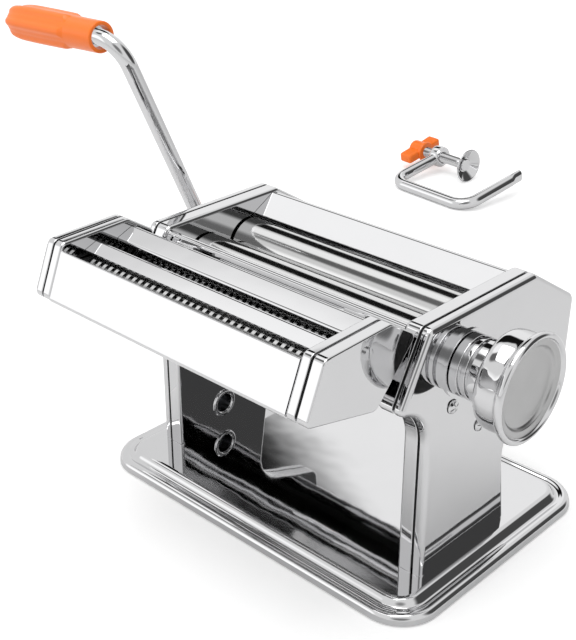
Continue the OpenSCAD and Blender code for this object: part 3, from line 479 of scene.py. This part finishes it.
knob_axis = Vector((0, -0.02045, 0.1145))
knob_place = Matrix.Translation(knob_axis)
cap_profile = [(109.5, 15.3), (109.6, 18.0)] + smooth([
    (109.7, 20.0), (110.3, 21.9), (111.8, 23.1), (114.5, 23.6), (118.0, 23.6), (121.0, 23.5),
    (122.0, 23.7), (122.7, 24.7), (123.7, 25.7), (125.0, 26.0), (126.15, 25.7), (126.85, 24.9),
    (126.93, 24.3), (126.5, 23.5), (125.6, 22.9), (125.2, 22.0), (125.0, 20.6), (124.8, 19.8),
    (124.0, 19.2), (123.4, 18.4), (123.2, 17.0)], 4) + [(123.0, 0.0)]
cap = turned("knob_rolled_cap", cap_profile, steps=96)
modify(cap, "SOLIDIFY", thickness=0.0008, offset=-1)
place(cap, knob_place)
dress(cap, chrome, "thickness_knob", "knob_cap")
# Brushed steel: the sunken face is brushed straight, in hair lines about 0.3 mm apart
brushed = finish("brushed_steel_face", "#bcbcbc", 0.34, grain=0.0003, lift=0.000012, uneven=0.04,
                 stretch=(1, 1, 0.03))
brushed_r = 0.0226
coat(cap, brushed, lambda middle: middle.x > 0.1215 and (middle - knob_axis).yz.length < brushed_r)
# Painted shade: the back of the cap, towards the panel, is laid near black, and the panel mirrors it dark
coat(cap, seam_steel, lambda middle: middle.x < 0.1104)

stem = merged_copy("knob_stem", "knob_grooved_stem")
pick("edges", lambda e: turn_of(e) > 30 and all((v.co - knob_axis).yz.length > 0.0145 for v in e.verts))
bpy.ops.mesh.bevel(offset=0.0004, segments=3, affect="EDGES", clamp_overlap=True)
dress(stem, chrome, "thickness_knob", "knob_stem")
keep(chrome, "knob_screw", "index_plate")
keep(zinc, "knob_spring", "knob_pin")

# ---- Crank ----
# A plated steel rod, bent twice, pushes into the driven roller. A hollow moulded grip turns on its
# end, smooth at the front and ribbed lengthwise behind, and a pressed collar keeps it on.


def bent_rod(name, r, parts, steps=24):
    """A rod of radius r from the origin along X. Parts are lengths, and (turn, radius) bends, in metres."""
    if bpy.context.mode != "OBJECT":
        bpy.ops.object.mode_set(mode="OBJECT")
    bpy.ops.object.select_all(action="DESELECT")
    bpy.ops.mesh.primitive_circle_add(vertices=steps, radius=r, fill_type="NOTHING",
                                      rotation=(0, math.pi / 2, 0))
    piece = bpy.context.object
    piece.name = name
    bpy.ops.object.transform_apply(rotation=True)
    edit(piece)
    at, heading = Vector((0, 0, 0)), 0.0
    for part in parts:
        ahead = Vector((math.cos(heading), math.sin(heading), 0))
        if isinstance(part, tuple):
            turn, bend = math.radians(part[0]), part[1]
            middle = at + Vector((-ahead.y, ahead.x, 0)) * math.copysign(bend, turn)
            bpy.ops.mesh.spin(steps=12, angle=-turn, center=middle, axis=(0, 0, 1))
            at = middle + Matrix.Rotation(turn, 3, "Z") @ (at - middle)
            heading += turn
        else:
            bpy.ops.mesh.extrude_region_move(TRANSFORM_OT_translate={"value": ahead * part})
            at = at + ahead * part
    bpy.ops.mesh.edge_face_add()
    pick("edges", lambda e: all(abs(v.co.x) < 0.000001 and v.co.yz.length < r * 1.01 for v in e.verts))
    bpy.ops.mesh.edge_face_add()
    bpy.ops.mesh.select_all(action="SELECT")
    bpy.ops.mesh.normals_make_consistent(inside=False)
    return piece


crank_tip = Vector((-0.0806, 0.0105, 0.1145))
crank_lean = math.radians(24.8)
droop = math.radians(2.5)
rod_r = 0.00425
reach, throw = 0.0344, 0.125
lower_bend, upper_bend = 0.009, 0.015
setback = upper_bend * math.tan((math.pi / 2 + droop) / 2)
crank_place = (Matrix.Translation(crank_tip) @ Matrix.Rotation(crank_lean - math.pi / 2, 4, "X")
               @ Matrix.Rotation(math.pi, 4, "Z"))
rod = bent_rod("crank_bent_rod", rod_r, [
    reach - lower_bend, (90, lower_bend), throw - lower_bend - setback,
    (-90 - math.degrees(droop), upper_bend), 0.081 - setback])
place(rod, crank_place)
dress(rod, chrome, "crank", "crank_rod")

# Moulded polypropylene: vivid orange, a soft gloss, and a fine spark-eroded grain
orange = finish("orange_polypropylene", "#ff7a1c", 0.32, grain=0.0012, lift=0.00003, metallic=0, uneven=0.05)
grip_profile = [(82, 0.0), (82, 4.3), (20, 4.3), (20, 6.0)] + smooth([
    (13.5, 6.0), (13.1, 6.4), (13.0, 7.1), (13.2, 7.8), (13.9, 8.1), (18, 8.15), (26, 8.2), (34, 8.3),
    (36.5, 8.35), (38.5, 8.4), (41, 8.5), (48, 8.6), (60, 8.7), (72, 8.7), (80, 8.5), (86, 7.7),
    (90, 5.9), (92.2, 3.4), (93, 0.0)], 3)
grip = turned("crank_ribbed_grip", grip_profile, steps=72)
ribs = 6
for half_width, growth, start in [(15, 1.05, 36.4), (12, 1.055, 37.4), (9, 1.035, 38.4)]:
    pick("verts", lambda v: start / 1000 < v.co.x < 0.089 and v.co.yz.length > 0.0052
         and abs((math.degrees(math.atan2(v.co.z, v.co.y)) + 180 / ribs) % (360 / ribs) - 180 / ribs)
         < half_width + 0.5)
    bpy.ops.transform.resize(value=(1, growth, growth), center_override=(0, 0, 0))
place(grip, crank_place @ Matrix.Translation((reach, throw, 0)) @ Matrix.Rotation(-droop, 4, "Z"))
dress(grip, orange, "crank_grip", "crank_grip")
# A choice of this scene, not of the grip: the chrome doesn't mirror its orange
grip.visible_glossy = False
keep(chrome, "grip_collar")

# ---- Cutter attachment ----
# Two rows of cutter rings hang between two small pressed caps, made in halves like the side panels.
# Bent sheets cover them and leave a feed slot over each row, and its channels slide down the rails.

cap_seam_start = 0.082
for side, hand in [(-1, "left"), (1, "right")]:
    inner = rounded_shell(hand + "_cap_inner", hand + "_cap_inner_shell", "cutter_attachment",
                          [(side * 0.077, 0.0014), (side * cap_seam_start, 0.0004)])
    # Painted shade: the inner cap shell's flange inside the seam is laid near black
    coat(inner, seam_steel, lambda middle: side * middle.x > cap_seam_start + 0.00002)
    rounded_shell(hand + "_cap_cover", hand + "_cap_outer_shell", "cutter_attachment",
                  [(side * 0.089, 0.0026), (side * 0.0832, 0.0004)])
for node, name in [("front_plate", "front_cover_sheet"), ("middle_plate", "middle_cover_sheet"),
                   ("rear_plate", "rear_cover_sheet")]:
    bend_sheet(node, name, "cutter_attachment", 0.001, 0.0008)
# Moulded nylon of the bearing cheeks: black, a soft sheen
nylon = finish("black_nylon", "#101011", 0.42, grain=0.0008, lift=0.00002, metallic=0)
keep(chrome, "attachment_rails", "hanger_channels", "cap_screws", "cutter_tie_rods")
keep(zinc, "cap_posts")
keep(nylon, "bearing_cheeks")
keep(nickel, "combs", "narrow_cutter_front", "narrow_cutter_rear", "wide_cutter_front", "wide_cutter_rear")
keep(gear_steel, "narrow_gear_front", "narrow_gear_rear", "wide_gear_front", "wide_gear_rear")

# ---- Table clamp ----
# A bent, plated rod holds the machine to a table edge. The flattened tip of its long arm enters the left
# panel, and a screw with a moulded wing presses a dished cup up from below. It lies loose on the table.

clamp_tilt = math.asin(10 / 60)
clamp_place = (Matrix.Translation((-0.270, 0.380, 0.005)) @ Matrix.Rotation(math.radians(-6), 4, "Z")
               @ Matrix.Rotation(clamp_tilt, 4, "X"))
screw_place = clamp_place @ Matrix.Translation((0, 0.060, 0))
frame_rod = bent_rod("clamp_bent_rod", 0.005, [0.037, (90, 0.015), 0.055, (90, 0.015), 0.043, 0.005, 0.008])
pick("verts", lambda v: v.co.y > 0.08 and v.co.x < -0.010)
bpy.ops.transform.resize(value=(1, 0.62, 1.1), center_override=(0, 0.085, 0))
place(frame_rod, clamp_place @ Matrix.Translation((0, 0.052, 0)) @ Matrix.Rotation(-math.pi / 2, 4, "Z"))
dress(frame_rod, chrome, "table_clamp", "clamp_frame")
eye_profile = [(-4.6, 4.6), (-5.3, 5.3), (-5.5, 6.4), (-5.2, 8.2), (-4.0, 9.2), (-2.0, 9.5), (2.0, 9.5),
               (4.0, 9.2), (5.2, 8.2), (5.5, 6.4), (5.3, 5.3), (4.6, 4.6), (-4.6, 4.6)]
eye = turned("clamp_eye", eye_profile, steps=48)
place(eye, screw_place)
dress(eye, chrome, "table_clamp")

thread_pitch = 1.25
thread_turns = 43
thread = turned("clamp_thread", [(-27.0, 3.9), (-26.375, 4.5), (-25.75, 3.9)], steps=20, pitch=thread_pitch,
                turns=thread_turns)
place(thread, screw_place)
dress(thread, chrome, "clamp_screw", "clamp_screw")
core = turned("clamp_screw_core", [
    (-28, 0.0), (-28, 3.2), (-27.4, 3.9), (27.2, 3.9), (27.6, 3.5), (31.2, 3.5), (31.2, 5.2), (31.5, 5.5),
    (32.6, 5.5), (33.0, 5.0), (33.0, 0.0)], steps=32)
place(core, screw_place)
dress(core, chrome, "clamp_screw")
cup_profile = [(29, 3.55)] + smooth([
    (29, 6.2), (29.5, 7.2), (33.6, 13.0), (34.4, 13.9), (35.2, 14.8), (35.9, 14.9), (36.3, 14.3),
    (36.0, 13.5), (35.3, 12.6), (31.6, 7.4), (30.9, 6.6)], 3) + [(30.8, 3.55), (29, 3.55)]
cup = turned("clamp_dished_cup", cup_profile, steps=64)
place(cup, screw_place)
dress(cup, chrome, "clamp_cup", "clamp_cup")

hub_profile = [(-32, 4.6), (-32, 6.4), (-31.2, 7.4), (-29.5, 7.8), (-19.0, 7.8), (-18.6, 8.6), (-17.8, 9.0),
               (-16.8, 9.0), (-16.1, 8.5), (-16.0, 7.6), (-16.0, 4.6), (-32, 4.6)]
hub = turned("wing_hub", hub_profile, steps=48)
place(hub, screw_place)
blades = []
for side in (-1, 1):
    if bpy.context.mode != "OBJECT":
        bpy.ops.object.mode_set(mode="OBJECT")
    bpy.ops.object.select_all(action="DESELECT")
    bpy.ops.mesh.primitive_cube_add(size=1, location=(-0.024, side * 0.0125, 0))
    blade = bpy.context.object
    blade.name = "wing_blade"
    blade.scale = (0.0135, 0.0150, 0.0085)
    bpy.ops.object.transform_apply(location=True, scale=True)
    edit(blade)
    pick("verts", lambda v: side * v.co.y > 0.015)
    bpy.ops.transform.translate(value=(-0.0005, 0, side * 0.0012))
    bpy.ops.mesh.select_all(action="SELECT")
    bpy.ops.mesh.bevel(offset=0.0022, segments=4, affect="EDGES")
    place(blade, screw_place)
    blades.append(blade)
bpy.ops.object.select_all(action="DESELECT")
for part in blades + [hub]:
    part.select_set(True)
bpy.context.view_layer.objects.active = hub
bpy.ops.object.join()
dress(hub, orange, "clamp_screw", "clamp_wing")
